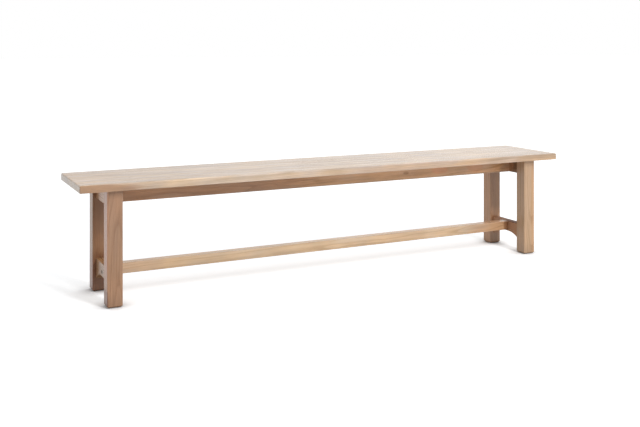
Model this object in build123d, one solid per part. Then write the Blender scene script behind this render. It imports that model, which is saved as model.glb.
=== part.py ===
from build123d import *
import os

# Dining bench: a long edge-glued oak seat on two end frames. A beam under the middle of the
# seat stiffens it, and a stretcher ties the end frames together near the floor.
# Millimetres. +X runs along the seat, +Y towards its back, +Z up. The origin is on the
# floor, under the middle of the seat.

# Seat
seat_length = 2166.0
seat_depth = 368.0
seat_height = 457.0            # top of the seat above the floor
seat_thickness = 28.0
stave_count = 4
seat_corner_radius = 3.0       # rounding of the four corners, seen from above
seat_top_easing = 5.0
seat_bottom_easing = 2.0

# Legs
leg_width = 57.0               # along X
leg_depth = 57.0               # along Y
leg_end_overhang = 104.0       # seat end to the outer face of the legs
leg_side_overhang = 30.0       # seat edge to the front or back face of the legs
leg_easing = 3.0
leg_foot_chamfer = 5.0

# End rails, which stand in the middle of the legs' width
rail_thickness = 28.0
rail_easing = 2.0
upper_rail_height = 67.0
lower_rail_top = 130.0         # above the floor
lower_rail_middle_height = 49.0
lower_rail_end_height = 79.0
arch_flat_length = 32.0        # level middle of the arched underside

# Tenons of the end rails, and their mortises in the legs
tenon_thickness = 10.0
tenon_length = 30.0
tenon_shoulder = 10.0          # rail left above and below a tenon
mortise_end_space = 2.0        # room for glue past the tenon's tip
joint_gap = 0.1                # glue line round tenons

# Seat beam, hung from the underside of the seat
beam_depth = 55.0
beam_height = 67.0
beam_easing = 2.5

# Stretcher
stretcher_depth = 40.0
stretcher_height = 40.0
stretcher_drop = 2.0           # top of the lower rails to the top of the stretcher
stretcher_easing = 2.5

# Stretcher bolts: flat-headed furniture bolts through the lower rails into barrel nuts
bolt_diameter = 6.0
bolt_head_diameter = 15.0
bolt_head_thickness = 2.5
bolt_head_easing = 0.8
bolt_head_sink = 0.5           # head below the face of the rail
bolt_hex_width = 4.0           # across the flats
bolt_hex_depth = 3.5
bolt_run_past_nut = 4.0
bolt_edge_distance = 10.0      # stretcher's underside to the bolt's axis
barrel_nut_diameter = 10.0
barrel_nut_length = 14.0
barrel_nut_setback = 45.0      # stretcher's end to the nut's axis

# Dowels
dowel_diameter = 8.0
dowel_length = 36.0
dowel_end_chamfer = 1.0
dowel_end_space = 1.0
dowel_edge_distance = 10.0     # stretcher's top to the dowel's axis
beam_dowel_share = 0.25        # of the beam's depth, from its middle

# Seat bolts: cap screws up through the upper rails into threaded inserts in the seat
seat_bolt_diameter = 6.0
seat_bolt_head_diameter = 10.0
seat_bolt_head_height = 6.0
seat_bolt_hex_width = 5.0
seat_bolt_hex_depth = 3.0
seat_bolt_recess = 25.0        # rail's underside to the washer
seat_bolt_engagement = 11.0    # in the insert
seat_bolt_offset = 60.0        # from the middle of the rail
seat_bolt_slot_length = 11.0   # lets the seat swell and shrink across its depth
washer_diameter = 14.0
washer_thickness = 1.5
insert_diameter = 10.0
insert_length = 13.0
insert_end_space = 1.0

# Beam screws: up through the beam into the seat, in two rows
screw_diameter = 5.0
screw_head_diameter = 9.5
screw_head_height = 3.0
screw_slot_width = 1.2
screw_slot_depth = 1.5
screw_slot_share = 0.6         # of the head's diameter
screw_recess = 35.0            # beam's underside to the head's bearing face
screw_bite = 18.0              # in the seat
screw_tip_length = 5.0
screw_end_distance = 60.0
screw_station_count = 5
screw_row_share = 0.25         # of the beam's depth, from its middle

# Foot glides
glide_diameter = 34.0
glide_thickness = 5.0
glide_proud = 2.0              # below the end of the leg
glide_easing = 0.8
glide_screw_diameter = 3.5
glide_screw_head_diameter = 7.0
glide_screw_head_height = 2.0
glide_screw_sink = 1.0         # glide's face to the head
glide_screw_length = 22.0

# Clearances
hole_gap = 0.15                # round what is glued, screwed or threaded in
passing_gap = 0.3              # round what passes freely, and at closed ends
head_gap = 0.5                 # round heads and washers in their recesses
cut_overrun = 1.0              # cutters run this far past an open face

# Places worked out from the sizes above
seat_bottom = seat_height - seat_thickness
stave_width = seat_depth / stave_count
leg_x = seat_length / 2 - leg_end_overhang - leg_width / 2
leg_y = seat_depth / 2 - leg_side_overhang - leg_depth / 2
rail_half_span = leg_y - leg_depth / 2
rail_inner_x = leg_x - rail_thickness / 2
rail_outer_x = leg_x + rail_thickness / 2
upper_rail_bottom = seat_bottom - upper_rail_height
lower_rail_middle_bottom = lower_rail_top - lower_rail_middle_height
lower_rail_end_bottom = lower_rail_top - lower_rail_end_height
beam_bottom = seat_bottom - beam_height
beam_middle_z = seat_bottom - beam_height / 2
stretcher_top = lower_rail_top - stretcher_drop
stretcher_bottom = stretcher_top - stretcher_height
bolt_z = stretcher_bottom + bolt_edge_distance
dowel_z = stretcher_top - dowel_edge_distance
bolt_seat_x = rail_outer_x - bolt_head_sink - bolt_head_thickness
barrel_nut_x = rail_inner_x - barrel_nut_setback
bolt_tip_x = barrel_nut_x - barrel_nut_diameter / 2 - bolt_run_past_nut
washer_z = upper_rail_bottom + seat_bolt_recess
screw_seat_z = beam_bottom + screw_recess
leg_bottom = glide_proud
glide_screw_head_top = glide_screw_sink + glide_screw_head_height
screw_pitch = (2 * rail_inner_x - 2 * screw_end_distance) / (screw_station_count - 1)

sides = {"left": -1, "right": 1}
faces = {"front": -1, "back": 1}
up = (0, 0, 1)


def block(x_low, x_high, y_low, y_high, z_low, z_high):
    """A box between two corners."""
    middle = ((x_low + x_high) / 2, (y_low + y_high) / 2, (z_low + z_high) / 2)
    return Pos(*middle) * Box(x_high - x_low, y_high - y_low, z_high - z_low)


def rod(start, direction, diameter, length):
    """A round bar from a start point, along a direction."""
    base = Plane(origin=start, z_dir=direction)
    return base * Cylinder(diameter / 2, length, align=(Align.CENTER, Align.CENTER, Align.MIN))


def hex_bar(start, direction, width, length):
    """A six-sided bar from a start point, sized across its flats."""
    base = Plane(origin=start, z_dir=direction)
    return extrude(base * RegularPolygon(width / 2, 6, major_radius=False), length)


def slotted_bar(centre, face_normal, long_direction, width, length, reach):
    """A bar with two round edges, such as a routed mortise, along a face's normal."""
    base = Plane(origin=centre, x_dir=long_direction, z_dir=face_normal)
    return extrude(base * SlotOverall(length, width), reach)


def tenons(side, z_low, z_high, gap, reach):
    """The two tenons of an end rail, or with a gap the mortises that take them."""
    bars = []
    for face in faces.values():
        shoulder = (side * leg_x, face * rail_half_span, (z_low + z_high) / 2)
        height = z_high - z_low + 2 * gap
        bars.append(slotted_bar(shoulder, (0, face, 0), up, tenon_thickness + 2 * gap, height, reach))
    return bars


def upper_tenons(side, gap, reach):
    return tenons(side, upper_rail_bottom + tenon_shoulder, seat_bottom - tenon_shoulder, gap, reach)


def lower_tenons(side, gap, reach):
    low = lower_rail_end_bottom + tenon_shoulder
    return tenons(side, low, lower_rail_top - tenon_shoulder, gap, reach)


def seat_bolt_places():
    """Points on the underside of the seat over the bolts, two at each end."""
    return [
        (side * leg_x, face * seat_bolt_offset, seat_bottom)
        for side in sides.values()
        for face in faces.values()
    ]


def screw_places():
    """Points on the underside of the seat over the screws, two rows along the beam."""
    first = -rail_inner_x + screw_end_distance
    return [
        (first + station * screw_pitch, face * beam_depth * screw_row_share, seat_bottom)
        for station in range(screw_station_count)
        for face in faces.values()
    ]


def seat_panel():
    """The whole seat before it is cut into staves."""
    half_length = seat_length / 2
    half_depth = seat_depth / 2
    panel = block(-half_length, half_length, -half_depth, half_depth, seat_bottom, seat_height)
    panel = fillet(panel.edges().filter_by(Axis.Z), seat_corner_radius)
    panel = fillet(panel.faces().sort_by(Axis.Z)[-1].edges(), seat_top_easing)
    panel = fillet(panel.faces().sort_by(Axis.Z)[0].edges(), seat_bottom_easing)
    insert_hole = insert_diameter + 2 * hole_gap
    for place in seat_bolt_places():
        panel -= rod(place, up, insert_hole, insert_length + insert_end_space)
    screw_hole = screw_diameter + 2 * hole_gap
    for place in screw_places():
        panel -= rod(place, up, screw_hole, screw_bite + passing_gap)
    return panel


def seat_staves():
    """The seat cut along X into equal staves, front to back."""
    panel = seat_panel()
    reach = seat_length / 2 + cut_overrun
    staves = []
    for index in range(stave_count):
        y_low = -seat_depth / 2 + index * stave_width
        slab = block(-reach, reach, y_low, y_low + stave_width, seat_bottom, seat_height)
        staves.append(panel & slab)
    return staves


def leg(side, face):
    """A square leg, mortised for both end rails and bored for its glide."""
    x_low = side * leg_x - leg_width / 2
    y_low = face * leg_y - leg_depth / 2
    post = block(x_low, x_low + leg_width, y_low, y_low + leg_depth, leg_bottom, seat_bottom)
    post = chamfer(post.faces().sort_by(Axis.Z)[0].edges(), leg_foot_chamfer)
    post = fillet(post.edges().filter_by(Axis.Z), leg_easing)
    for bar in upper_tenons(side, joint_gap, tenon_length + mortise_end_space):
        post -= bar
    for bar in lower_tenons(side, joint_gap, tenon_length + mortise_end_space):
        post -= bar
    foot = (side * leg_x, face * leg_y, leg_bottom - cut_overrun)
    glide_seat = glide_thickness - glide_proud + cut_overrun
    post -= rod(foot, up, glide_diameter + 2 * hole_gap, glide_seat)
    pilot = glide_screw_head_top + glide_screw_length + passing_gap - foot[2]
    post -= rod(foot, up, glide_screw_diameter + 2 * hole_gap, pilot)
    return post


def upper_rail(side):
    """A straight end rail, bored for the beam's dowels and slotted for the seat bolts."""
    x_low = side * leg_x - rail_thickness / 2
    x_high = x_low + rail_thickness
    rail = block(x_low, x_high, -rail_half_span, rail_half_span, upper_rail_bottom, seat_bottom)
    rail = fillet(rail.faces().sort_by(Axis.Z)[0].edges().filter_by(Axis.Y), rail_easing)
    for bar in upper_tenons(side, 0, tenon_length):
        rail += bar
    for x, y, z in seat_bolt_places():
        if x * side > 0:
            slot_width = seat_bolt_diameter + 2 * passing_gap
            slot_length = seat_bolt_slot_length
            slot_foot = (x, y, upper_rail_bottom)
            rail -= slotted_bar(slot_foot, up, (0, 1, 0), slot_width, slot_length, upper_rail_height)
            recess_foot = (x, y, upper_rail_bottom - cut_overrun)
            rail -= rod(recess_foot, up, washer_diameter + 2 * head_gap, seat_bolt_recess + cut_overrun)
    for hole in beam_dowel_holes(side):
        rail -= hole
    return rail


def arched_profile():
    """Side view of a lower rail: a level middle, then an arc down to each leg."""
    flat = arch_flat_length / 2
    low = lower_rail_end_bottom
    middle = lower_rail_middle_bottom
    outline = [
        Line((-flat, middle), (flat, middle)),
        TangentArc((flat, middle), (rail_half_span, low), tangent=(1, 0)),
        Line((rail_half_span, low), (rail_half_span, lower_rail_top)),
        Line((rail_half_span, lower_rail_top), (-rail_half_span, lower_rail_top)),
        Line((-rail_half_span, lower_rail_top), (-rail_half_span, low)),
        TangentArc((-flat, middle), (-rail_half_span, low), tangent=(-1, 0)),
    ]
    return make_face(Curve() + outline)


def lower_rail(side):
    """An arched end rail, bored for the stretcher's bolt and dowel."""
    base = Plane(origin=(side * leg_x - rail_thickness / 2, 0, 0), x_dir=(0, 1, 0), z_dir=(1, 0, 0))
    rail = extrude(base * arched_profile(), rail_thickness)
    upright = rail.edges().filter_by(Axis.Z)
    across = rail.edges().filter_by(Axis.X)
    rail = fillet(rail.edges() - upright - across, rail_easing)
    for bar in lower_tenons(side, 0, tenon_length):
        rail += bar
    outside = (side * (rail_outer_x + cut_overrun), 0, bolt_z)
    inward = (-side, 0, 0)
    rail -= rod(outside, inward, bolt_diameter + 2 * passing_gap, rail_thickness + 2 * cut_overrun)
    recess = cut_overrun + bolt_head_sink + bolt_head_thickness
    rail -= rod(outside, inward, bolt_head_diameter + 2 * head_gap, recess)
    rail -= stretcher_dowel_hole(side)
    return rail


def dowel(middle):
    """A plain dowel along X, with chamfered ends."""
    x, y, z = middle
    peg = rod((x - dowel_length / 2, y, z), (1, 0, 0), dowel_diameter, dowel_length)
    return chamfer(peg.edges().filter_by(GeomType.CIRCLE), dowel_end_chamfer)


def dowel_hole(middle):
    x, y, z = middle
    length = dowel_length + 2 * dowel_end_space
    return rod((x - length / 2, y, z), (1, 0, 0), dowel_diameter + 2 * hole_gap, length)


def beam_dowel_places(side):
    """Middles of the dowels in the joint between the beam and an upper rail."""
    return [
        (side * rail_inner_x, face * beam_depth * beam_dowel_share, beam_middle_z)
        for face in faces.values()
    ]


def beam_dowel_holes(side):
    return [dowel_hole(place) for place in beam_dowel_places(side)]


def stretcher_dowel_place(side):
    return (side * rail_inner_x, 0, dowel_z)


def stretcher_dowel_hole(side):
    return dowel_hole(stretcher_dowel_place(side))


def long_rail(depth, z_low, z_high, easing):
    """A straight rail between the end frames, with its long arrises eased."""
    rail = block(-rail_inner_x, rail_inner_x, -depth / 2, depth / 2, z_low, z_high)
    return fillet(rail.edges().filter_by(Axis.X), easing)


def seat_beam():
    """The beam under the seat, doweled at its ends and bored for the screws."""
    beam = long_rail(beam_depth, beam_bottom, seat_bottom, beam_easing)
    for side in sides.values():
        for hole in beam_dowel_holes(side):
            beam -= hole
    for x, y, z in screw_places():
        foot = (x, y, beam_bottom - cut_overrun)
        shank_hole = screw_diameter + 2 * passing_gap
        beam -= rod(foot, up, shank_hole, beam_height + 2 * cut_overrun)
        beam -= rod(foot, up, screw_head_diameter + 2 * head_gap, screw_recess + cut_overrun)
    return beam


def stretcher():
    """The stretcher, bored at each end for a bolt, its barrel nut and a dowel."""
    bar = long_rail(stretcher_depth, stretcher_bottom, stretcher_top, stretcher_easing)
    nut_hole_top = bolt_z + barrel_nut_length / 2 + passing_gap
    nut_hole_depth = nut_hole_top - stretcher_bottom + cut_overrun
    for side in sides.values():
        mouth = (side * (rail_inner_x + cut_overrun), 0, bolt_z)
        bolt_reach = rail_inner_x - bolt_tip_x + cut_overrun + passing_gap
        bar -= rod(mouth, (-side, 0, 0), bolt_diameter + 2 * passing_gap, bolt_reach)
        nut_foot = (side * barrel_nut_x, 0, stretcher_bottom - cut_overrun)
        bar -= rod(nut_foot, up, barrel_nut_diameter + 2 * hole_gap, nut_hole_depth)
        bar -= stretcher_dowel_hole(side)
    return bar


def stretcher_bolt(side):
    """A flat-headed bolt with a hexagon socket, from outside the lower rail inwards."""
    inward = (-side, 0, 0)
    head_start = (side * (bolt_seat_x + bolt_head_thickness), 0, bolt_z)
    head = rod(head_start, inward, bolt_head_diameter, bolt_head_thickness)
    outer_edge = head.edges().filter_by(GeomType.CIRCLE).sort_by(Axis.X)[-1 if side > 0 else 0]
    head = fillet(outer_edge, bolt_head_easing)
    shank = rod((side * bolt_seat_x, 0, bolt_z), inward, bolt_diameter, bolt_seat_x - bolt_tip_x)
    return head + shank - hex_bar(head_start, inward, bolt_hex_width, bolt_hex_depth)


def barrel_nut(side):
    """An upright barrel nut, cross-bored for the bolt."""
    foot = (side * barrel_nut_x, 0, bolt_z - barrel_nut_length / 2)
    nut = rod(foot, up, barrel_nut_diameter, barrel_nut_length)
    bore_start = (side * (barrel_nut_x + barrel_nut_diameter), 0, bolt_z)
    bore = rod(bore_start, (-side, 0, 0), bolt_diameter + 2 * hole_gap, 2 * barrel_nut_diameter)
    return nut - bore


def seat_bolt(place):
    """A cap screw, head down in the rail's recess, tip in the insert."""
    x, y, z = place
    bearing = washer_z - washer_thickness
    head = rod((x, y, bearing - seat_bolt_head_height), up, seat_bolt_head_diameter, seat_bolt_head_height)
    shank = rod((x, y, bearing), up, seat_bolt_diameter, z + seat_bolt_engagement - bearing)
    socket_start = (x, y, bearing - seat_bolt_head_height)
    return head + shank - hex_bar(socket_start, up, seat_bolt_hex_width, seat_bolt_hex_depth)


def washer(place):
    x, y, z = place
    foot = (x, y, washer_z - washer_thickness)
    disc = rod(foot, up, washer_diameter, washer_thickness)
    return disc - rod(foot, up, seat_bolt_diameter + 2 * passing_gap, washer_thickness)


def threaded_insert(place):
    sleeve = rod(place, up, insert_diameter, insert_length)
    return sleeve - rod(place, up, seat_bolt_diameter + 2 * hole_gap, insert_length)


def beam_screw(place):
    """A wood screw with a slotted pan head and a pointed tip, driven up into the seat."""
    x, y, z = place
    head_foot = (x, y, screw_seat_z - screw_head_height)
    head = rod(head_foot, up, screw_head_diameter, screw_head_height)
    shank_length = z + screw_bite - screw_tip_length - screw_seat_z
    shank = rod((x, y, screw_seat_z), up, screw_diameter, shank_length)
    tip = Pos(x, y, z + screw_bite - screw_tip_length / 2) * Cone(screw_diameter / 2, 0, screw_tip_length)
    slot_reach = screw_head_diameter * screw_slot_share / 2
    slot_low = head_foot[2] - cut_overrun
    slot_high = head_foot[2] + screw_slot_depth
    half_width = screw_slot_width / 2
    slot = block(x - slot_reach, x + slot_reach, y - half_width, y + half_width, slot_low, slot_high)
    cross = block(x - half_width, x + half_width, y - slot_reach, y + slot_reach, slot_low, slot_high)
    return head + shank + tip - slot - cross


def foot_glide(side, face):
    """A nylon disc let into the end of the leg, recessed for its screw."""
    foot = (side * leg_x, face * leg_y, 0)
    disc = rod(foot, up, glide_diameter, glide_thickness)
    disc = fillet(disc.edges().filter_by(GeomType.CIRCLE).sort_by(Axis.Z)[0], glide_easing)
    disc -= rod(foot, up, glide_screw_diameter + 2 * passing_gap, glide_thickness)
    head_recess = glide_screw_head_diameter + 2 * head_gap
    return disc - rod(foot, up, head_recess, glide_screw_head_top)


def glide_screw(side, face):
    x, y = side * leg_x, face * leg_y
    head = rod((x, y, glide_screw_sink), up, glide_screw_head_diameter, glide_screw_head_height)
    return head + rod((x, y, glide_screw_head_top), up, glide_screw_diameter, glide_screw_length)


corners = [(side, face) for side in sides for face in faces]
stave_names = ["seat_stave_%d" % (index + 1) for index in range(stave_count)]

nodes = dict(zip(stave_names, [[stave] for stave in seat_staves()]))
for side, face in corners:
    nodes["leg_%s_%s" % (side, face)] = [leg(sides[side], faces[face])]
    nodes["foot_glide_%s_%s" % (side, face)] = [foot_glide(sides[side], faces[face])]
for side in sides:
    nodes["upper_rail_" + side] = [upper_rail(sides[side])]
    nodes["lower_rail_" + side] = [lower_rail(sides[side])]
nodes["seat_beam"] = [seat_beam()]
nodes["stretcher"] = [stretcher()]
nodes["stretcher_bolts"] = [stretcher_bolt(side) for side in sides.values()]
nodes["barrel_nuts"] = [barrel_nut(side) for side in sides.values()]
nodes["stretcher_dowels"] = [dowel(stretcher_dowel_place(side)) for side in sides.values()]
nodes["beam_dowels"] = [dowel(place) for side in sides.values() for place in beam_dowel_places(side)]
nodes["seat_bolts"] = [seat_bolt(place) for place in seat_bolt_places()]
nodes["seat_bolt_washers"] = [washer(place) for place in seat_bolt_places()]
nodes["seat_inserts"] = [threaded_insert(place) for place in seat_bolt_places()]
nodes["beam_screws"] = [beam_screw(place) for place in screw_places()]
nodes["glide_screws"] = [glide_screw(sides[side], faces[face]) for side, face in corners]

os.makedirs("parts", exist_ok=True)
for name, shapes in nodes.items():
    solids = [solid for shape in shapes for solid in shape.solids()]
    export_step(Compound(solids), "parts/%s.step" % name)
    print(name, len(solids))
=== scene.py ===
import math

import bpy
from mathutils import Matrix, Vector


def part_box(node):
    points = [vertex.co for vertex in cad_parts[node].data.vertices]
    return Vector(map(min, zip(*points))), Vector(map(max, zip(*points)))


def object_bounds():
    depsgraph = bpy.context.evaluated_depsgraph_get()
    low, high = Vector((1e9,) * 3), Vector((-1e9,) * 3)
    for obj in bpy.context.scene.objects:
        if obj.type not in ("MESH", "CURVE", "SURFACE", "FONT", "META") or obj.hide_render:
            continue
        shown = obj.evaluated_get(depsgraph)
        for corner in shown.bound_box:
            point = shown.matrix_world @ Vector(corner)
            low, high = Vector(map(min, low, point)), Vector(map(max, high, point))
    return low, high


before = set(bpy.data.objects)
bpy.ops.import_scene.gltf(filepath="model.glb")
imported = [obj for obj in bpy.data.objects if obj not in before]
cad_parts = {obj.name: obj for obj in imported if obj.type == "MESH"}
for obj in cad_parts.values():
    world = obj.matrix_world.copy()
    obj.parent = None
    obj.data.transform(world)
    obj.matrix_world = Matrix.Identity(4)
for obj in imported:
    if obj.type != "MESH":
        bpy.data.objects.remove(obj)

# A long oak dining bench in a white studio. Metres, with the bench's own axes: +X along the
# seat, +Y towards its back, +Z up, and the origin on the floor under the middle of the seat.
# Every solid of the bench stays as it was cut; this script gives each its finish, and adds
# the floor, the lamps and the camera.

cad_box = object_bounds()
millimetre = 0.001
axes = {"x": 0, "y": 1, "z": 2}


# Camera

image_width, image_height = 640, 427
focal_length_px = 884.518
horizon_px = 45.697             # height of the horizon in the photograph, from the top
sensor_width_mm = 36.0
camera_place = (-1.70816, -3.36348, 0.95385)
camera_turn = math.radians(-26.32)


def make_camera():
    """A level camera, whose frame is shifted down so that uprights stay parallel."""
    data = bpy.data.cameras.new("camera")
    data.sensor_fit = "HORIZONTAL"
    data.sensor_width = sensor_width_mm
    data.lens = focal_length_px / image_width * sensor_width_mm
    data.shift_y = -(image_height / 2 - horizon_px) / image_width
    camera = bpy.data.objects.new("camera", data)
    camera.location = camera_place
    camera.rotation_euler = (math.radians(90), 0, camera_turn)
    bpy.context.scene.collection.objects.link(camera)
    bpy.context.scene.camera = camera


# Materials

class Nodes:
    """The nodes of one finish. Each method adds a node and returns its output."""

    def __init__(self, name, kind="materials"):
        self.owner = getattr(bpy.data, kind).new(name)
        self.owner.use_nodes = True
        self.tree = self.owner.node_tree
        self.tree.nodes.clear()

    def add(self, kind, values, output=0, **settings):
        """A node of a kind, with its settings, and values or links for its sockets."""
        node = self.tree.nodes.new("ShaderNode" + kind)
        for key, value in settings.items():
            setattr(node, key, value)
        for key, value in values.items():
            if isinstance(value, bpy.types.NodeSocket):
                self.tree.links.new(value, node.inputs[key])
            else:
                node.inputs[key].default_value = value
        return node.outputs[output]

    def math(self, operation, *values):
        return self.add("Math", dict(enumerate(values)), operation=operation)

    def vector(self, operation, *values, output=0):
        return self.add("VectorMath", dict(enumerate(values)), output, operation=operation)

    def scaled(self, vector, shares):
        """A vector stretched by its own share along each axis."""
        return self.vector("MULTIPLY", vector, shares)

    def noise(self, place, scale, detail=2.0, roughness=0.5, output=0):
        values = {"Vector": place, "Scale": scale, "Detail": detail, "Roughness": roughness}
        return self.add("TexNoise", values, output)

    def ramp(self, value, low, high, to_low=0.0, to_high=1.0, smooth=True):
        """A value taken from one range to another, and held at the ends."""
        values = {0: value, 1: low, 2: high, 3: to_low, 4: to_high}
        kind = "SMOOTHSTEP" if smooth else "LINEAR"
        return self.add("MapRange", values, interpolation_type=kind)

    def mix(self, share, first, second, blend="MIX"):
        values = {0: share, 6: first, 7: second}
        return self.add("Mix", values, 2, data_type="RGBA", blend_type=blend)

    def relief(self, height, strength, depth):
        """The normal of a surface roughened by a height, whose full step is the depth."""
        return self.add("Bump", {"Strength": strength, "Distance": depth, "Height": height}, "Normal")

    def surface(self, shader, kind="OutputMaterial"):
        output = self.tree.nodes.new("ShaderNode" + kind)
        self.tree.links.new(shader, output.inputs["Surface"])
        return self.owner


def colour(red, green, blue):
    return (red, green, blue, 1.0)


def tinted(base, tint):
    return colour(*(value * share for value, share in zip(base, tint)))


# Oak, in linear colours

oak_late_wood = (0.600, 0.425, 0.270)     # dense wood between the rings' pores
oak_early_wood = (0.500, 0.335, 0.200)    # the porous start of each ring
oak_streak_wood = (0.430, 0.265, 0.155)
oak_pore = (0.230, 0.130, 0.070)
oak_worn_wood = (0.600, 0.460, 0.330)     # along the arrises, rubbed paler

# Its rings, counted outwards from the tree's heart
oak_ring_width = 3.6 * millimetre
oak_ring_start_share = 0.38     # of a ring, taken up by its porous start
oak_ring_close_share = 0.93     # of a ring, where the next one's pores begin to show
oak_growth_turns = 55.0         # a metre, of the tree's irregular growth
oak_growth_reach = 3.0          # rings
oak_early_share = 0.85          # of the early wood's colour, in the porous start

# Its pores: cells a metre along and across the grain
oak_pore_cells = (70.0, 1500.0, 1500.0)
oak_pore_edge = (0.16, 0.34)    # of a cell, from a pore's full dark to its rim
oak_late_pore_share = 0.25      # of the pores' dark, left in dense wood
oak_pore_share = 0.55           # of the pores' colour
oak_pore_dullness = 0.2         # roughness that a pore adds

# How its fibres wander: stretch along and across, turns a metre, detail and reach
oak_wander = ((0.7, 2.2, 2.2), 2.2, 1.0, 30 * millimetre)
oak_ripple = ((0.25, 1.0, 1.0), 22.0, 2.0, 2.8 * millimetre)

# Its figure: turns a metre along and across the grain, detail and roughness of each noise
oak_figure = {
    "fibre": (5.0, 260.0, 3.0, 0.6),
    "band": (1.1, 34.0, 3.0, 0.55),
    "cloud": (5.0, 16.0, 3.0, 0.6),
    "cast": (3.5, 21.0, 2.0, 0.6),
    "streak": (1.3, 17.0, 2.0, 0.6),
    "patch_edge": (9.0, 160.0, 2.0, 0.6),
}
oak_streak_edge = (0.58, 0.78)  # of its noise, from none to full
oak_streak_share = 0.45
oak_cast_edge = (0.35, 0.65)    # of its noise, from warm to cool
oak_cast_red = 0.02             # either way from 1, for a figure of 1
oak_cast_blue = 0.04
oak_band_reach = 0.07           # of the brightness either way, for a figure of 1
oak_cloud_reach = 0.05
oak_level_edge = (0.3, 0.7)     # of a noise, from the darkest to the brightest
oak_fibre_edge = (0.25, 0.75)
oak_fibre_levels = (0.94, 1.05)
oak_patch_edge_reach = 0.5      # of a patch's half sizes, as its noise moves the edge
oak_patch_feather = (0.95, 1.35)    # half sizes from the middle, from full to none

# Its wear, its end grain and the painted shade at its feet
oak_worn_width = 4.0 * millimetre
oak_worn_edge = (0.35, 1.3)     # of the worn width, from full wear to none
oak_worn_turns = 35.0
oak_worn_share = 0.2
oak_worn_polish = 0.04          # roughness that wear takes away
oak_end_grain_facing = (0.75, 0.95)
oak_end_grain_shade = 0.70
oak_painted_foot_shade = 0.84           # of the painted shade at the feet, next to the floor
oak_painted_foot_shade_height = 0.07

# Its lacquer
lacquer_ior = 1.5
lacquer_fibre_edge = (0.2, 0.8)
lacquer_smoother = 0.03         # roughness below the board's own, between the fibres
lacquer_rougher = 0.05          # roughness above it, on them

# Its relief, under the lacquer
oak_relief_strength = 0.35
oak_relief_height = 0.25 * millimetre
oak_fibre_relief = 0.35         # of a pore's depth

# Each board's grain direction, the place of the tree's heart across it (metres, along the
# next two axes in turn), how far the heart leans out of the grain (metres a metre), its
# tint, the roughness of its lacquer and how lively its figure is. The heart is outside the
# board, as in sawn timber.
# The tints are partly each board's own tone and partly painted light and shade: painted shade darkens the
# left legs, the back one most, and the right upper rail under the seat; painted light brightens the seat
# beam.
seat_tint = (1.02, 1.09, 1.26)
seat_look = (seat_tint, 0.22, 2.2)
boards = {
    "seat_stave_1": ("x", (-0.125, 0.390), (0.004, 0.022), *seat_look),
    "seat_stave_2": ("x", (-0.060, 0.372), (-0.006, 0.015), *seat_look),
    "seat_stave_3": ("x", (0.052, 0.381), (0.005, -0.018), *seat_look),
    "seat_stave_4": ("x", (0.150, 0.350), (0.002, 0.020), *seat_look),
    "leg_left_front": ("z", (-0.945, -0.020), (0.012, 0.020), (0.69, 0.55, 0.51), 0.28, 0.9),
    "leg_left_back": ("z", (-1.020, 0.060), (-0.010, 0.015), (0.53, 0.39, 0.31), 0.28, 0.9),
    "leg_right_front": ("z", (0.960, -0.030), (0.014, -0.020), (0.955, 0.885, 0.86), 0.28, 0.9),
    "leg_right_back": ("z", (0.870, 0.190), (0.008, 0.018), (0.98, 0.79, 0.71), 0.28, 0.9),
    "upper_rail_left": ("y", (0.350, -0.900), (0.010, 0.016), (0.88, 0.69, 0.56), 0.28, 1.0),
    "upper_rail_right": ("y", (0.345, 0.900), (0.012, -0.014), (0.44, 0.33, 0.25), 0.28, 1.0),
    "lower_rail_left": ("y", (0.150, -0.895), (-0.010, 0.018), (0.69, 0.54, 0.41), 0.28, 1.0),
    "lower_rail_right": ("y", (0.060, 0.890), (0.014, 0.012), (0.84, 0.65, 0.58), 0.60, 1.0),
    "seat_beam": ("x", (0.060, 0.385), (0.005, 0.014), (1.34, 1.13, 0.98), 0.28, 1.7),
    "stretcher": ("x", (0.045, 0.100), (-0.004, 0.012), (1.17, 1.16, 1.15), 0.22, 1.5),
}
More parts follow.
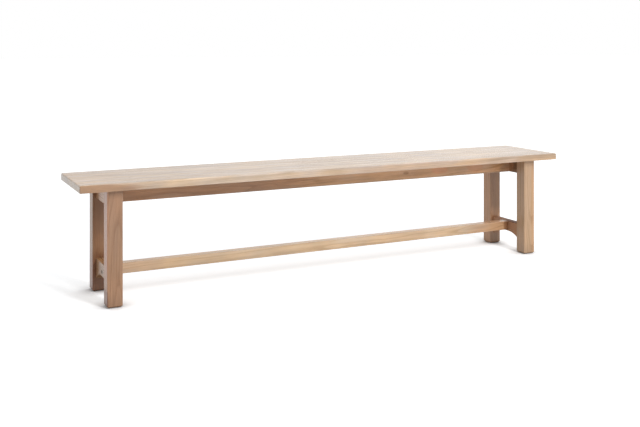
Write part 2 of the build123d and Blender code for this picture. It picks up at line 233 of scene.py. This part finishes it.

# Patches in single boards, each a colour share over part of it: some are the wood's own figure, and others
# are painted light and shade, as marked. Each patch's middle, half sizes and colour share
seat_left_end = ((-1.08, 0.0, 0.475), (0.30, 0.30, 0.030), (0.99, 0.96, 0.93))
patches = {
    "seat_stave_1": [
        seat_left_end,
        ((-1.08, -0.184, 0.432), (0.250, 0.006, 0.034), (0.68, 0.56, 0.49)),
        ((-0.55, -0.184, 0.440), (0.240, 0.006, 0.060), (1.18, 1.17, 1.12)),
        ((0.55, -0.184, 0.440), (0.550, 0.006, 0.060), (0.95, 0.885, 0.82)),
        ((0.13, -0.184, 0.440), (0.320, 0.006, 0.060), (0.92, 0.91, 0.90)),
        ((1.00, -0.184, 0.440), (0.160, 0.006, 0.060), (1.01, 0.97, 0.89)),
        # Painted highlight along the front arris, in place of the lamp's reflection on its rounding
        ((0.04, -0.184, 0.457), (1.100, 0.008, 0.0075), (1.10, 1.15, 1.24)),
    ],
    "seat_stave_2": [seat_left_end],
    "seat_stave_3": [seat_left_end],
    "seat_stave_4": [seat_left_end],
    "leg_left_front": [
        # Painted light on the outer side's upper part, painted shade on its lower part down to the floor,
        # and painted shade on the front face
        ((-0.979, -0.127, 0.310), (0.004, 0.20, 0.22), (1.23, 1.02, 0.92)),
        ((-0.979, -0.127, 0.110), (0.004, 0.20, 0.15), (0.95, 0.86, 0.78)),
        ((-0.979, -0.127, 0.010), (0.004, 0.20, 0.060), (0.58, 0.42, 0.38)),
        ((-0.950, -0.154, 0.210), (0.060, 0.01, 0.115), (0.92, 0.93, 0.93)),
    ],
    "leg_left_back": [
        # Painted shade low on the leg, where the lower rail and the front leg shade it, warmer on its outer
        # side; on its front, painted shadow beside the rail and painted light just above it
        ((-0.950, 0.125, 0.060), (0.20, 0.20, 0.105), (0.78, 0.69, 0.66)),
        ((-0.979, 0.127, 0.060), (0.004, 0.20, 0.110), (1.00, 0.80, 0.70)),
        ((-0.950, 0.097, 0.095), (0.018, 0.004, 0.045), (0.84, 0.82, 0.76)),
        ((-0.950, 0.097, 0.185), (0.018, 0.004, 0.045), (1.14, 1.12, 1.08)),
    ],
    "leg_right_front": [((0.979, -0.154, 0.200), (0.022, 0.02, 0.30), (1.03, 0.95, 0.86))],
    "leg_right_back": [
        # Painted shade on the front face, which the front leg and the seat shade, darker still at the foot
        ((0.952, 0.097, 0.290), (0.20, 0.004, 0.14), (0.65, 0.66, 0.69)),
        ((0.952, 0.097, 0.020), (0.20, 0.004, 0.045), (0.71, 0.75, 0.81)),
    ],
    "upper_rail_right": [
        # Painted light on the inner face beside the beam, and painted shade towards the front leg
        ((0.937, -0.028, 0.400), (0.20, 0.030, 0.10), (1.50, 1.46, 1.42)),
        ((0.937, -0.100, 0.400), (0.20, 0.026, 0.10), (0.66, 0.58, 0.45)),
    ],
    # Painted shadow on the rail's top, between the stretcher and the front leg
    "lower_rail_right": [((0.951, -0.070, 0.134), (0.05, 0.10, 0.010), (0.42, 0.33, 0.30))],
    "seat_beam": [
        ((-0.60, 0.0, 0.395), (0.55, 0.30, 0.30), (0.69, 0.63, 0.62)),
        # Painted shade along the lower front arris
        ((0.30, -0.0275, 0.362), (1.20, 0.009, 0.0055), (0.76, 0.80, 0.88)),
        ((0.366, -0.0275, 0.391), (0.016, 0.006, 0.007), (0.72, 0.65, 0.60)),
        ((0.546, -0.0275, 0.392), (0.050, 0.010, 0.016), (1.06, 0.90, 0.86)),
        ((0.740, -0.0275, 0.398), (0.050, 0.010, 0.030), (1.02, 0.90, 0.86)),
        # Painted shade at the right end, beside the front leg
        ((0.935, -0.0275, 0.375), (0.060, 0.006, 0.026), (0.70, 0.72, 0.80)),
    ],
    "stretcher": [
        ((-0.83, 0.0, 0.107), (0.110, 0.060, 0.060), (0.91, 0.91, 0.97)),
        ((-0.24, 0.0, 0.107), (0.500, 0.060, 0.060), (1.04, 1.07, 1.11)),
        ((0.38, 0.0, 0.107), (0.120, 0.060, 0.060), (0.95, 0.92, 0.88)),
        ((0.96, 0.0, 0.107), (0.280, 0.060, 0.060), (0.84, 0.74, 0.70)),
        # Painted shadow of the right front leg across the stretcher's end
        ((0.930, 0.0, 0.107), (0.024, 0.060, 0.060), (0.64, 0.54, 0.48)),
    ],
}


class Board:
    """The places inside one oak board: its log, rings, fibres and arrises, as nodes.

    The place is turned so that its first axis runs along the grain and its second and third
    lie across it, counted from the tree's heart. The log is then bent by slow noise, so that
    its fibres wander. A ring's number is the distance from the heart divided by the ring's
    width, with noise for the tree's own irregular growth.
    """

    def __init__(self, n, grain, heart, lean):
        self.n = n
        self.place = n.add("TexCoord", {}, "Object")
        parts = [n.add("SeparateXYZ", {0: self.place}, index) for index in range(3)]
        along, across, rise = (parts[(axes[grain] + step) % 3] for step in range(3))
        across = n.math("SUBTRACT", n.math("SUBTRACT", across, heart[0]), n.math("MULTIPLY", along, lean[0]))
        rise = n.math("SUBTRACT", n.math("SUBTRACT", rise, heart[1]), n.math("MULTIPLY", along, lean[1]))
        log = n.add("CombineXYZ", {0: along, 1: across, 2: rise})
        wander = self.sway(log, *oak_wander)
        ripple = self.sway(log, *oak_ripple)
        self.log = n.vector("ADD", n.vector("ADD", log, wander), ripple)

    def sway(self, log, stretch, scale, detail, reach):
        """Noise that moves the fibres sideways, by half its reach either way."""
        n = self.n
        noise = n.noise(n.scaled(log, stretch), scale, detail, output=1)
        return n.scaled(n.vector("SUBTRACT", noise, (0.5, 0.5, 0.5)), (0.0, reach, reach))

    def drawn_out(self, name):
        """One of the figure's noises, drawn out along the grain."""
        along, across, detail, roughness = oak_figure[name]
        return self.n.noise(self.n.scaled(self.log, (along, across, across)), 1.0, detail, roughness)

    def level(self, noise, reach):
        """A brightness that follows the noise, by its reach either way from 1."""
        return self.n.ramp(noise, *oak_level_edge, 1.0 - reach, 1.0 + reach)

    def early_wood(self):
        """How far a place lies in the porous start of its ring, from 0 to 1."""
        n = self.n
        radius = n.vector("LENGTH", n.scaled(self.log, (0.0, 1.0, 1.0)), output=1)
        growth = n.noise(n.add("CombineXYZ", {0: radius}), oak_growth_turns, 1.0)
        number = n.math("DIVIDE", radius, oak_ring_width)
        ring = n.math("FRACT", n.math("ADD", number, n.math("MULTIPLY", growth, oak_growth_reach)))
        start = n.ramp(ring, 0.0, oak_ring_start_share, 1.0, 0.0)
        return n.math("MAXIMUM", start, n.ramp(ring, oak_ring_close_share, 1.0))

    def pores(self, early):
        """Short open pores, crowded in the early wood."""
        n = self.n
        cells = n.add("TexVoronoi", {"Vector": n.scaled(self.log, oak_pore_cells), "Scale": 1.0})
        dark = n.ramp(cells, *oak_pore_edge, 1.0, 0.0)
        return n.math("MULTIPLY", dark, n.ramp(early, 0.0, 1.0, oak_late_pore_share, 1.0))

    def arris(self, node):
        """1 on the board's arrises, 0 away from them.

        Of a place's distances to the three nearest faces of the board's box, the second
        smallest is its distance from the nearest arris.
        """
        n = self.n
        low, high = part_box(node)
        from_low = n.vector("SUBTRACT", self.place, low)
        inside = n.vector("MINIMUM", from_low, n.vector("SUBTRACT", high, self.place))
        a, b, c = (n.add("SeparateXYZ", {0: inside}, index) for index in range(3))
        middle = n.math("MAXIMUM", n.math("MINIMUM", a, b), n.math("MINIMUM", n.math("MAXIMUM", a, b), c))
        uneven = n.math("MULTIPLY", n.noise(self.place, oak_worn_turns, 2.0), oak_worn_width)
        worn, whole = (share * oak_worn_width for share in oak_worn_edge)
        return n.ramp(n.math("ADD", middle, uneven), worn, whole, 1.0, 0.0)

    def end_grain(self, grain):
        """1 where the surface faces along the grain."""
        n = self.n
        facing = n.add("SeparateXYZ", {0: n.add("NewGeometry", {}, "Normal")}, axes[grain])
        return n.ramp(n.math("ABSOLUTE", facing), *oak_end_grain_facing)

    def patch(self, middle, half_sizes):
        """1 inside an egg-shaped patch with an uneven, softly feathered edge."""
        n = self.n
        offset = n.vector("DIVIDE", n.vector("SUBTRACT", self.place, middle), half_sizes)
        edge = n.math("MULTIPLY", self.drawn_out("patch_edge"), oak_patch_edge_reach)
        reach = n.math("ADD", n.vector("LENGTH", offset, output=1), edge)
        return n.ramp(reach, *oak_patch_feather, 1.0, 0.0)


def oak(node, grain, heart, lean, tint, roughness, figure):
    """Lacquered oak for one board: rings, fibres, pores, darker streaks and worn arrises, with patches of
    figure, painted light and painted shade, and painted shade at the feet.
    """
    n = Nodes("oak_" + node)
    board = Board(n, grain, heart, lean)
    early = board.early_wood()
    fibre = board.drawn_out("fibre")
    band = board.drawn_out("band")
    cloud = board.drawn_out("cloud")
    cast = board.drawn_out("cast")
    streak = board.drawn_out("streak")
    pore = board.pores(early)
    worn = board.arris(node)

    porous = n.math("MULTIPLY", early, oak_early_share)
    shade = n.mix(porous, tinted(oak_late_wood, tint), tinted(oak_early_wood, tint))
    darker = n.math("MULTIPLY", n.ramp(streak, *oak_streak_edge), oak_streak_share)
    shade = n.mix(darker, shade, tinted(oak_streak_wood, tint))
    # Patches: the wood's figure in some, painted light and shade in others
    for middle, half_sizes, share in patches.get(node, []):
        inside = board.patch(middle, half_sizes)
        shade = n.mix(inside, shade, colour(*share), blend="MULTIPLY")
    shade = n.mix(n.math("MULTIPLY", worn, oak_worn_share), shade, colour(*oak_worn_wood))

    # Slow changes from a warm to a cool brown
    red = oak_cast_red * figure
    blue = oak_cast_blue * figure
    warm = colour(1.0 + red, 1.0, 1.0 - blue)
    cool = colour(1.0 - red, 1.0, 1.0 + blue)
    shade = n.mix(1.0, shade, n.mix(n.ramp(cast, *oak_cast_edge), warm, cool), blend="MULTIPLY")

    # End grain drinks more of the finish
    banded = board.level(band, oak_band_reach * figure)
    level = n.math("MULTIPLY", banded, board.level(cloud, oak_cloud_reach * figure))
    level = n.math("MULTIPLY", level, n.ramp(fibre, *oak_fibre_edge, *oak_fibre_levels))
    level = n.math("MULTIPLY", level, n.ramp(board.end_grain(grain), 0.0, 1.0, 1.0, oak_end_grain_shade))
    # Painted shade at the feet, darker towards the floor
    height = n.add("SeparateXYZ", {0: board.place}, 2)
    level = n.math("MULTIPLY", level, n.ramp(height, 0.0, oak_painted_foot_shade_height, oak_painted_foot_shade, 1.0))
    shade = n.add("VectorMath", {0: shade, 3: level}, operation="SCALE")
    shade = n.mix(n.math("MULTIPLY", pore, oak_pore_share), shade, tinted(oak_pore, tint))

    relief = n.math("SUBTRACT", n.math("MULTIPLY", fibre, oak_fibre_relief), pore)
    bump = n.relief(relief, oak_relief_strength, oak_relief_height)
    gloss = n.ramp(fibre, *lacquer_fibre_edge, roughness - lacquer_smoother, roughness + lacquer_rougher)
    gloss = n.math("ADD", gloss, n.math("MULTIPLY", pore, oak_pore_dullness))
    gloss = n.math("SUBTRACT", gloss, n.math("MULTIPLY", worn, oak_worn_polish))
    values = {"Base Color": shade, "Roughness": gloss, "IOR": lacquer_ior, "Normal": bump}
    return n.surface(n.add("BsdfPrincipled", values))


# Beech, plated steel and nylon, in linear colours; turns are a metre

beech_colour = (0.58, 0.40, 0.25)
beech_fibre_tint = (0.82, 0.78, 0.74)
beech_fibre_turns = (30.0, 900.0, 900.0)
beech_roughness = 0.6
beech_relief = (0.2, 0.2 * millimetre)      # strength and depth, as in the other reliefs
zinc_colour = (0.62, 0.63, 0.64)
zinc_roughness = 0.32
blackened_colour = (0.040, 0.034, 0.030)
blackened_roughness = 0.50
metal_cloud_tint = (0.80, 0.79, 0.78)
metal_cloud_turns = 90.0
metal_cloud_edge = (0.35, 0.7)
metal_brush_turns = 2500.0
metal_sheen_edge = (0.7, 1.3)
metal_smoother = 0.06
metal_rougher = 0.1
metal_relief = (0.15, 0.05 * millimetre)
nylon_colour = (0.090, 0.062, 0.042)
nylon_cloud_tint = (0.85, 0.85, 0.85)
nylon_cloud_turns = 60.0
nylon_grain_turns = 1800.0
nylon_roughness = (0.42, 0.56)
nylon_relief = (0.25, 0.1 * millimetre)
soft_edge = (0.3, 0.7)                      # of a noise, where its effect starts and is full


def plain_wood():
    """Beech dowels: a fine, even fibre along X."""
    n = Nodes("beech")
    place = n.add("TexCoord", {}, "Object")
    fibre = n.noise(n.scaled(place, beech_fibre_turns), 1.0, 2.0, 0.6)
    shade = n.mix(n.ramp(fibre, *soft_edge), colour(*beech_colour), tinted(beech_colour, beech_fibre_tint))
    bump = n.relief(fibre, *beech_relief)
    values = {"Base Color": shade, "Roughness": beech_roughness, "Normal": bump}
    return n.surface(n.add("BsdfPrincipled", values))


def metal(name, base, roughness):
    """Metal with fine brushing and a slow change of sheen."""
    n = Nodes(name)
    place = n.add("TexCoord", {}, "Object")
    slow = n.noise(place, metal_cloud_turns, 2.0)
    fine = n.noise(place, metal_brush_turns, 2.0, 0.7)
    shade = n.mix(n.ramp(slow, *metal_cloud_edge), colour(*base), tinted(base, metal_cloud_tint))
    sheen = n.math("ADD", slow, fine)
    gloss = n.ramp(sheen, *metal_sheen_edge, roughness - metal_smoother, roughness + metal_rougher)
    bump = n.relief(fine, *metal_relief)
    values = {"Base Color": shade, "Roughness": gloss, "Metallic": 1.0, "Normal": bump}
    return n.surface(n.add("BsdfPrincipled", values))


def moulded():
    """Moulded nylon, with the faint grain of its mould."""
    n = Nodes("nylon")
    place = n.add("TexCoord", {}, "Object")
    grain = n.noise(place, nylon_grain_turns, 2.0, 0.6)
    slow = n.noise(place, nylon_cloud_turns, 2.0)
    shade = n.mix(n.ramp(slow, *soft_edge), colour(*nylon_colour), tinted(nylon_colour, nylon_cloud_tint))
    bump = n.relief(grain, *nylon_relief)
    gloss = n.ramp(grain, *soft_edge, *nylon_roughness)
    values = {"Base Color": shade, "Roughness": gloss, "Normal": bump}
    return n.surface(n.add("BsdfPrincipled", values))


def dress(node, material):
    """Gives a node's solid one material all over."""
    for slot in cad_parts[node].material_slots:
        slot.material = material


def finish_bench():
    """Dresses every CAD solid: the boards in oak, the rest by what each is made of."""
    for node, board in boards.items():
        dress(node, oak(node, *board))
    beech = plain_wood()
    zinc = metal("zinc_plate", zinc_colour, zinc_roughness)
    blackened = metal("blackened_steel", blackened_colour, blackened_roughness)
    nylon = moulded()
    finishes = {
        "stretcher_dowels": beech,
        "beam_dowels": beech,
        "stretcher_bolts": blackened,
        "barrel_nuts": zinc,
        "seat_bolts": zinc,
        "seat_bolt_washers": zinc,
        "seat_inserts": zinc,
        "beam_screws": zinc,
        "glide_screws": zinc,
    }
    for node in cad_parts:
        if node.startswith("foot_glide"):
            finishes[node] = nylon
    for node, material in finishes.items():
        dress(node, material)


# Studio

floor_half_size = 60.0
floor_albedo = 0.55             # of the light that it sends on to the bench
floor_seen_albedo = (0.89, 0.91, 0.928)
floor_mirror_lift = 0.72        # its glow, as the lacquer mirrors it
floor_lift_near = 0.45          # its glow, as the camera sees it, so that the lit floor is white
floor_lift_far = 0.66
floor_lift_reach = (1.0, 4.5)   # from the bench, where the near lift ends and the far one starts
contact_reach = 0.075           # how far the painted contact shadow of a foot spreads on the floor
contact_side = (0.55, -0.65, 0.52)  # where the floor looks for open air: right, forward and up
contact_range = (0.50, 1.0)     # open share of the air above, where the glow starts and is full
contact_rays = 16
sky_light = 0.46
sky_light_left = 0.72
sky_light_right = 0.80
sky_mirror_left = 0.85          # the studio's walls, as the lacquer mirrors them
sky_mirror_right = 1.12
sky_mirror_turn = (0.15, 0.60)  # how far to the right, from the one to the other
white_sky = 1.0                 # where the camera sees it
key_place = (0.95, -4.7, 3.7)
key_size = (0.9, 3.1)           # a tall softbox, so that level parts cast the softer shadow
key_power = 190.0
top_place = (0.0, 0.0, 4.5)
top_size = (2.4, 2.4)
top_power = 14.0


def make_floor():
    """A white floor that keeps the bench's shadow and fades into the white walls."""
    h = floor_half_size
    mesh = bpy.data.meshes.new("floor")
    mesh.from_pydata([(-h, -h, 0), (h, -h, 0), (h, h, 0), (-h, h, 0)], [], [(0, 1, 2, 3)])
    floor = bpy.data.objects.new("floor", mesh)
    bpy.context.scene.collection.objects.link(floor)
    n = Nodes("floor")
    seen = n.add("LightPath", {}, "Is Camera Ray")
    mirrored = n.add("LightPath", {}, "Is Glossy Ray")
    reach = n.vector("LENGTH", n.add("TexCoord", {}, "Object"), output=1)
    lift = n.ramp(reach, *floor_lift_reach, floor_lift_near, floor_lift_far)
    lift = n.math("ADD", n.math("MULTIPLY", seen, lift), n.math("MULTIPLY", mirrored, floor_mirror_lift))
    # Painted contact shadow round the feet: the glow dims where the air to the right, front and above is
    # closed off
    reach_of_dark = {"Distance": contact_reach, "Normal": contact_side}
    open_air = n.add("AmbientOcclusion", reach_of_dark, "AO", samples=contact_rays)
    lift = n.math("MULTIPLY", lift, n.ramp(open_air, *contact_range, smooth=False))
    glow = n.add("Emission", {"Color": colour(1, 1, 1), "Strength": lift})
    grey = colour(floor_albedo, floor_albedo, floor_albedo)
    paint = n.add("BsdfDiffuse", {"Color": n.mix(seen, grey, colour(*floor_seen_albedo))})
    mesh.materials.append(n.surface(n.add("AddShader", {0: paint, 1: glow})))


def make_sky():
    """White walls all round: full strength where seen, brighter to the right where mirrored."""
    n = Nodes("studio", "worlds")
    direction = n.add("TexCoord", {}, "Generated")
    rightward = n.add("SeparateXYZ", {0: direction}, 0)
    mirror = n.ramp(rightward, *sky_mirror_turn, sky_mirror_left, sky_mirror_right)
    mirrored = n.add("LightPath", {}, "Is Glossy Ray")
    seen = n.add("LightPath", {}, "Is Camera Ray")
    light = n.ramp(rightward, -1.0, 0.0, sky_light_left, sky_light, smooth=False)
    more = n.ramp(rightward, 0.0, 1.0, 0.0, sky_light_right - sky_light, smooth=False)
    light = n.math("ADD", light, more)
    strength = n.ramp(mirrored, 0.0, 1.0, light, mirror, smooth=False)
    strength = n.ramp(seen, 0.0, 1.0, strength, white_sky, smooth=False)
    back = n.add("Background", {"Color": colour(1, 1, 1), "Strength": strength})
    bpy.context.scene.world = n.surface(back, "OutputWorld")


def make_lamp(name, place, size, power):
    """A softbox of a width and height at a place, facing the middle of the bench.

    The lacquer mirrors the pale walls alone, so that no lamp burns a white spot into it.
    """
    data = bpy.data.lights.new(name, "AREA")
    data.shape = "RECTANGLE"
    data.size, data.size_y = size
    data.energy = power
    lamp = bpy.data.objects.new(name, data)
    lamp.visible_glossy = False
    lamp.location = place
    target = [(low + high) / 2 for low, high in zip(*cad_box)]
    aim = [to - start for to, start in zip(target, place)]
    flat = math.hypot(aim[0], aim[1])
    lamp.rotation_euler = (math.atan2(flat, -aim[2]), 0, math.atan2(-aim[0], aim[1]))
    bpy.context.scene.collection.objects.link(lamp)


make_camera()
finish_bench()
make_floor()
make_sky()
make_lamp("key", key_place, key_size, key_power)
make_lamp("top", top_place, top_size, top_power)
bpy.context.scene.view_settings.view_transform = "Standard"
